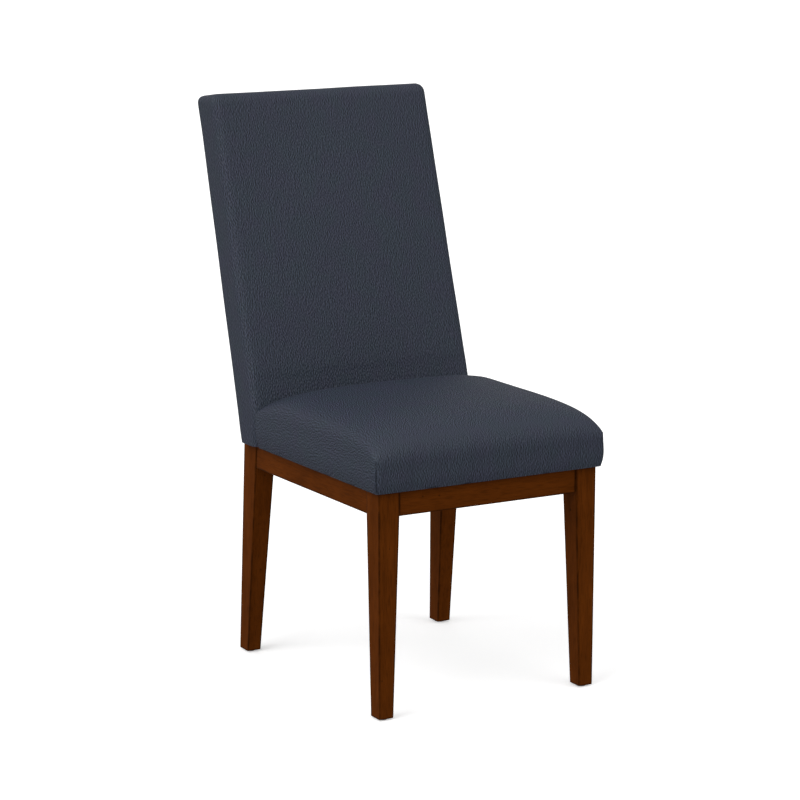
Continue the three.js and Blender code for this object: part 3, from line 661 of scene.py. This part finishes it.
def seat_height(x, y):
    sideways = clamp(abs(x) / seat_half)
    along = clamp((y - seat_middle) / seat_reach, -1, 1)
    dip = dip_share * clamp((y - (seat_rear - dip_length)) / dip_length) ** 2
    crown = crown_height * (1 - sideways ** 2) * (1 - along ** 2)
    rounded = (1 - sideways ** 5) ** (1 / 4.25)
    rounded *= (1 - clamp(-along) ** 4.6) ** (1 / 2.4) * (1 - clamp(along) ** 12) ** (1 / 12)
    return seat_wall + (roll_height + crown) * rounded * (1 - dip)


def crowd(share):
    return math.sin(share * crowding) / math.sin(crowding)


def seat_corner(b, rise):
    front_radius = 0.007 + 0.005 * soft_step(rise, 0.05, wall_share)
    return front_radius if b < 0 else 0.009


def seat_rule(place):
    a, b, c = place
    rise = (c + 1) / 2
    upper = clamp((rise - wall_share) / (1 - wall_share))
    scale = 1 - top_narrowing * upper ** 4
    x, y = crowd(a) * seat_half, crowd(b) * seat_reach
    x, y = round_corner(x, y, seat_half, seat_reach, seat_corner(b, rise))
    x, y = x * scale, y * scale
    z = seat_height(x, y + seat_middle) if upper > 0 else rise / wall_share * seat_wall
    draw = max(0.0, 1 - z / draw_height) ** 2
    bulge = side_bulge * math.exp(-((z - bulge_height) / bulge_spread) ** 2)
    x *= 1 + (bulge - side_draw * draw) / seat_half
    if y < 0:
        y *= 1 - front_draw * draw / seat_reach
    near_back = clamp((y + seat_middle - seat_rear + lean_length) / lean_length)
    lean = math.tan(rake) * max(0.0, z - seat_wall) * near_back
    return Vector((x, y + seat_middle + lean, z + seat_level))


print("seat", round(2 * seat_half, 3), "wide and", round(2 * seat_reach, 3), "deep")


# %% [markdown]
# ## The back's form
# The back is a tall slab that leans with its posts and narrows a little towards the top. Its
# front edges are rounder than its rear ones, the top falls slightly to the rear, and the front
# swells gently in the middle. Below the seat's top its face stands upright behind the seat.

# %% Back rule
back_tall = 0.6135
back_upright = 0.01383
back_foot = seat_rear + cushion_gap - back_upright
back_thick = 0.07253
back_foot_half = back_high.x
back_taper = 0.0077
top_round, straight_share = 0.012, 0.966
front_radius, rear_radius, least_radius = 0.014, 0.010, 0.003
belly, belly_foot = 0.004, 0.095
top_fall, fall_length = 0.007, 0.08


def back_rule(place):
    a, b, c = place
    rise = (c + 1) / 2
    turn = clamp((rise - straight_share) / (1 - straight_share)) * math.pi / 2
    z = min(rise / straight_share, 1) * (back_tall - top_round) + top_round * math.sin(turn)
    inset = top_round * (1 - math.cos(turn))
    half = back_foot_half - back_taper * z / back_tall - inset
    front = max(back_foot + back_upright, back_foot + math.tan(rake) * z) + inset
    rear = back_foot + back_thick + math.tan(rake) * z - inset
    reach = (rear - front) / 2
    radius = max(least_radius, (front_radius if b < 0 else rear_radius) - inset * 0.6)
    x, y = round_corner(a * half, b * reach, half, reach, radius)
    if b < -0.999:
        up_the_front = clamp((z - belly_foot) / (back_tall - belly_foot))
        y -= belly * math.sin(math.pi * up_the_front) * (1 - (x / half) ** 2)
    fall = top_fall * (b + 1) / 2 * soft_step(z, back_tall - fall_length, back_tall)
    return Vector((x, (front + rear) / 2 + y, z + seat_level - fall))


print("back", back_tall, "tall and", back_thick, "thick, leaning", round(math.degrees(rake), 1))


# %% [markdown]
# ## Blown up like a cushion
# Real leather is pulled over foam, so it bellies out a little everywhere it isn't fastened. The
# form may first be drawn in or out a little, then Blender's Cloth blows it up with air, and no
# point may move further than a set cap. Places where the leather is stapled, or pressed against
# the other cushion, are held still.

# %% Cloth over foam
air_steps = 20
air_pressure = 4


def cloth_modifier(piece, held):
    cloth = piece.modifiers.new("air", "CLOTH")
    cloth.settings.quality = 5
    cloth.settings.mass = 0.3
    cloth.settings.tension_stiffness = 12
    cloth.settings.compression_stiffness = 12
    cloth.settings.bending_stiffness = 0.6
    cloth.settings.use_pressure = True
    cloth.settings.uniform_pressure_force = air_pressure
    cloth.settings.vertex_group_mass = held.name
    cloth.settings.effector_weights.gravity = 0
    cloth.point_cache.frame_start = 1
    cloth.point_cache.frame_end = air_steps
    return cloth


def swell(piece, freedom, inset, cap):
    mesh = piece.data
    free = [freedom(v.co) for v in mesh.vertices]
    starts = [v.co - v.normal.copy() * inset * w for v, w in zip(mesh.vertices, free)]
    for v, start in zip(mesh.vertices, starts):
        v.co = start
    held = piece.vertex_groups.new(name="held")
    for v, w in zip(mesh.vertices, free):
        held.add([v.index], 1 - w, "REPLACE")
    cloth = cloth_modifier(piece, held)
    for step in range(1, air_steps + 1):
        scene.frame_set(step)
    blown = piece.evaluated_get(bpy.context.evaluated_depsgraph_get())
    ends = [v.co.copy() for v in blown.data.vertices]
    piece.modifiers.remove(cloth)
    piece.vertex_groups.remove(held)
    furthest = 0.0
    for v, start, end in zip(mesh.vertices, starts, ends):
        move = end - start
        furthest = max(furthest, move.length)
        if move.length > 1e-9:
            v.co = start + move.normalized() * cap * math.tanh(move.length / cap / 5)
    scene.frame_set(1)
    print(piece.name, "moved up to", round(furthest * 1000, 1), "mm, capped at", cap * 1000)


# %% [markdown]
# ## Making a cushion
# A cushion is a gridded box put through its rule. The fold at its foot is sharp, so its edges are
# creased before the mesh is made finer once. Small details, such as a tuck, are moves along each
# point's normal, and they come last, when the points are close enough to carry them.

# %% Cushion maker
def cushion(name, cuts, rule, finish):
    bm = grid_box(cuts)
    for v in bm.verts:
        v.co = rule(v.co)
    bm.normal_update()
    crease = bm.edges.layers.float.new("crease_edge")
    for edge in bm.edges:
        at_foot = all(v.co.z < seat_level + 0.001 for v in edge.verts)
        if at_foot and edge.calc_face_angle(0.0) > math.radians(50):
            edge[crease] = 0.8
    return make_piece(name, bm, finish)


def refine(piece):
    finer_by = piece.modifiers.new("finer", "SUBSURF")
    finer_by.levels = finer_by.render_levels = 1
    settled = piece.evaluated_get(bpy.context.evaluated_depsgraph_get())
    finer = bpy.data.meshes.new_from_object(settled)
    piece.modifiers.clear()
    old = piece.data
    piece.data = finer
    finer.name = piece.name
    bpy.data.meshes.remove(old)
    print(piece.name, "now has", len(finer.polygons), "faces")


def shift_points(piece, rule):
    moves = [rule(v.co.copy(), v.normal.copy()) for v in piece.data.vertices]
    for v, move in zip(piece.data.vertices, moves):
        v.co += move


def under_foot(height, normal):
    return height < 0.0006 and normal.z < -0.7


# %% [markdown]
# ## The seat cushion
# The seat's foot is stapled to the frame all round, and its rear is pressed against the back, so
# both stay put while the rest swells. Afterwards come the hem under the seat, the tucks at the
# two front corners, where spare leather is folded in, and the faint pull marks above the
# staples along the front.

# %% Where the seat is free, and its tucks
def seat_freedom(co):
    above_foot = soft_step(co.z - seat_level, 0.001, 0.022)
    before_back = 1 - soft_step(co.y, seat_rear - 0.05, seat_rear - 0.012)
    return above_foot * before_back


tuck_depth, tuck_width = 0.0019, 0.0018
tuck_slant, slant_height = 0.0015, 0.026


def tuck_share(co):
    height = co.z - seat_level
    if abs(co.x) < seat_half - 0.014 or height < 0.0006:
        return 0.0
    gap = (seat_half - abs(co.x)) - (co.y - seat_front)
    gap -= tuck_slant * max(0.0, 1 - height / slant_height) ** 2
    return (1 - soft_step(height, 0.03, 0.066)) * math.exp(-(gap / tuck_width) ** 2)


# %% The seat's hem, pull marks and ripples
hem_let_in = 0.0026
front_pull, side_pull, ripple = 0.0013, 0.0006, 0.0006


def seat_hem(co):
    from_side = seat_half - 0.005 - abs(co.x)
    inside_x = soft_step(from_side, 0.018, 0.0215)
    inside_y = soft_step(co.y - seat_front, 0.0215, 0.025)
    inside_y *= soft_step(seat_rear - co.y, 0.018, 0.0215)
    return Vector((0, 0, hem_let_in * inside_x * inside_y))


def seat_details(co, normal):
    height = co.z - seat_level
    if under_foot(height, normal):
        return seat_hem(co)
    move = -normal * tuck_depth * tuck_share(co)
    wave = noise.noise(Vector((co.x * 30, 3.0, height * 6)))
    wave += 0.4 * noise.noise(Vector((co.x * 80, 7.0, height * 12)))
    forward = clamp(-normal.y * 1.4)
    move += normal * front_pull * wave * forward * (1 - soft_step(height, 0.03, 0.095))
    wave = noise.noise(Vector((5.0, co.y * 34, height * 9)))
    move += normal * side_pull * wave * abs(normal.x) * (1 - soft_step(height, 0.012, 0.07))
    broad = noise.noise(Vector((co.x * 9, co.y * 9, co.z * 9 + 4)))
    move += normal * ripple * broad * clamp(height / 0.03) * seat_freedom(co)
    return move


# %% Make the seat
seat_cushion = cushion("seat_cushion", (66, 62, 13), seat_rule, seat_leather)
swell(seat_cushion, seat_freedom, 0.0, 0.0007)
refine(seat_cushion)
# The tuck share is kept and stored on the mesh as painted shade for the bottom of each tuck.
tucks = [tuck_share(v.co) for v in seat_cushion.data.vertices]
shift_points(seat_cushion, seat_details)
tuck_painted_shade = seat_cushion.data.attributes.new("tuck_painted_shade", "FLOAT", "POINT")
tuck_painted_shade.data.foreach_set("value", tucks)
smooth_faces(seat_cushion, 60)
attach(seat_cushion, "root")
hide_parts("seat_cover", "seat_foam")
print("seat crown at", round(max(v.co.z for v in seat_cushion.data.vertices), 4))


# %% [markdown]
# ## The back cushion
# The back is dressed like a pillow case over foam and closed with a separate panel behind. Its
# foot is stapled under, and its lower front is pressed by the seat. The rear is let in by a
# couple of millimetres, where the outside panel will lie.

# %% Where the back is free, and its details
panel_high = 0.5917
panel_half = 0.2142
panel_margin = 0.0015
panel_let_in = 0.0022


def panel_half_at(height):
    return panel_half - back_taper * height / back_tall


def back_freedom(co):
    height = co.z - seat_level
    in_front = co.y < back_foot + 0.036 + math.tan(rake) * height
    behind_seat = soft_step(height, 0.085, 0.14) if in_front else 1.0
    return soft_step(height, 0.001, 0.03) * behind_seat


def back_hem(co):
    inside = soft_step(0.2045 - abs(co.x), 0.0, 0.003)
    inside *= soft_step(co.y - (seat_rear + cushion_gap), 0.0205, 0.023)
    inside *= soft_step(back_foot + back_thick - co.y, 0.0205, 0.023)
    return Vector((0, 0, hem_let_in * inside))


def back_details(co, normal):
    move = Vector()
    height = co.z - seat_level
    if under_foot(height, normal):
        return back_hem(co)
    if normal.y > 0.8:
        from_side = panel_half_at(height) + panel_margin - abs(co.x)
        from_top = panel_high + panel_margin - height
        let_in = soft_step(from_side, 0, 0.003) * soft_step(from_top, 0, 0.003)
        move -= normal * panel_let_in * let_in
    broad = noise.noise(Vector((co.x * 8, co.y * 8, co.z * 8 + 11)))
    move += normal * ripple * broad * back_freedom(co)
    return move


# %% Make the back
back_cushion = cushion("back_cushion", (64, 10, 88), back_rule, back_leather)
swell(back_cushion, back_freedom, -0.0008, 0.0010)
refine(back_cushion)
shift_points(back_cushion, back_details)
smooth_faces(back_cushion, 60)
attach(back_cushion, "root")
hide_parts("back_cover", "back_foam", "back_wadding")
print("back top at", round(max(v.co.z for v in back_cushion.data.vertices), 4))


# %% [markdown]
# ## The outside back
# The rear is closed last, with a flat panel of leather over thin wadding, its edges folded in
# and pinned along a border. It is a thin slab with rounded edges that lies in the let-in rear of
# the cushion and stands just proud of it, so its folded edge draws a fine line all round.

# %% Make the outside back
panel_proud, panel_inner = 0.0011, -0.0017
panel_puff = 0.0007
fold_width, fold_depth = 0.0022, 0.0018


def outside_rule(place):
    a, b, c = place
    z = (c + 1) / 2 * panel_high
    half = panel_half_at(z)
    x = a * half
    edge = min(half - abs(x), panel_high - z, 0.006 + z)
    fold = 1 - math.sqrt(max(0.0, 1 - clamp(1 - edge / fold_width) ** 2))
    puff = panel_puff * (1 - (x / half) ** 2) * math.sin(math.pi * clamp(z / panel_high))
    rear = back_foot + back_thick + math.tan(rake) * z
    out = panel_proud + puff - fold_depth * fold if b > 0 else panel_inner
    return Vector((x, rear + out, z + seat_level))


bm = grid_box((128, 1, 170))
for v in bm.verts:
    v.co = outside_rule(v.co)
outside_back = make_piece("outside_back", bm, back_leather)
smooth_faces(outside_back, 60)
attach(outside_back, "root")
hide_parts("back_panel")


# %% [markdown]
# ## The studio floor
# The chair stands on a pale floor that runs on beyond the picture's edges. It glows a little and
# is so evenly lit that only a breath of shadow lies under the chair, as in the picture. Its
# bounce and its mirror image are switched off, so it doesn't change the chair's own tones.

# %% Floor
bm = bmesh.new()
bmesh.ops.create_grid(bm, x_segments=1, y_segments=1, size=60)
floor_finish, tree, shader = new_finish("pale_floor", Roughness=0.9, Specular_IOR_Level=0.0)
shader.inputs["Base Color"].default_value = (0.9, 0.9, 0.9, 1)
shader.inputs["Emission Color"].default_value = (1, 1, 1, 1)
shader.inputs["Emission Strength"].default_value = 0.41
floor = make_piece("studio_floor", bm, floor_finish)
floor.visible_diffuse = False
floor.visible_glossy = False
print("floor of", round(floor.dimensions.x), "m")


# %% [markdown]
# ## Light and sky
# A big soft light comes from the left, slightly ahead, and a weaker one from the right of the
# front. A low one from behind keeps the outside back readable. A pale sky, brighter at the upper
# left of the front, fills the rest, and shows as plain white behind the chair.

# %% Lights and sky
def soft_sun(name, azimuth_degrees, elevation_degrees, strength, spread_degrees):
    light = bpy.data.lights.new(name, "SUN")
    light.energy = strength * math.pi
    light.angle = math.radians(spread_degrees)
    lamp = bpy.data.objects.new(name, light)
    turn, rise = math.radians(azimuth_degrees), math.radians(elevation_degrees)
    toward = Vector((
        math.sin(turn) * math.cos(rise), -math.cos(turn) * math.cos(rise), math.sin(rise),
    ))
    lamp.rotation_euler = (-toward).to_track_quat("-Z", "Y").to_euler()
    scene.collection.objects.link(lamp)
    return lamp


soft_sun("key_light", -81, 42, 0.37, 45)
soft_sun("fill_light", 25, 50, 0.12, 40)
rear_light = soft_sun("rear_light", 158, 6, 0.25, 40)
rear_light.visible_glossy = False

sky_strength, sky_unevenness = 0.46, 0.8
bright_side = Vector((-0.48, -0.52, 0.7)).normalized()
sky = bpy.data.worlds.new("pale_sky")
sky.use_nodes = True
tree = sky.node_tree
direction = add_node(tree, "ShaderNodeTexCoord").outputs["Generated"]
facing = calculate(tree, "ShaderNodeVectorMath", "DOT_PRODUCT", (direction, bright_side))
glow = number(
    tree, "MULTIPLY_ADD", facing.outputs["Value"], sky_strength * sky_unevenness, sky_strength,
)
seen = add_node(tree, "ShaderNodeLightPath").outputs["Is Camera Ray"]
backdrop = blend_tones(tree, seen, glow, (1.0, 1.0, 1.0))
tree.links.new(backdrop, tree.nodes["Background"].inputs["Color"])
scene.world = sky
scene.view_settings.view_transform = "Standard"
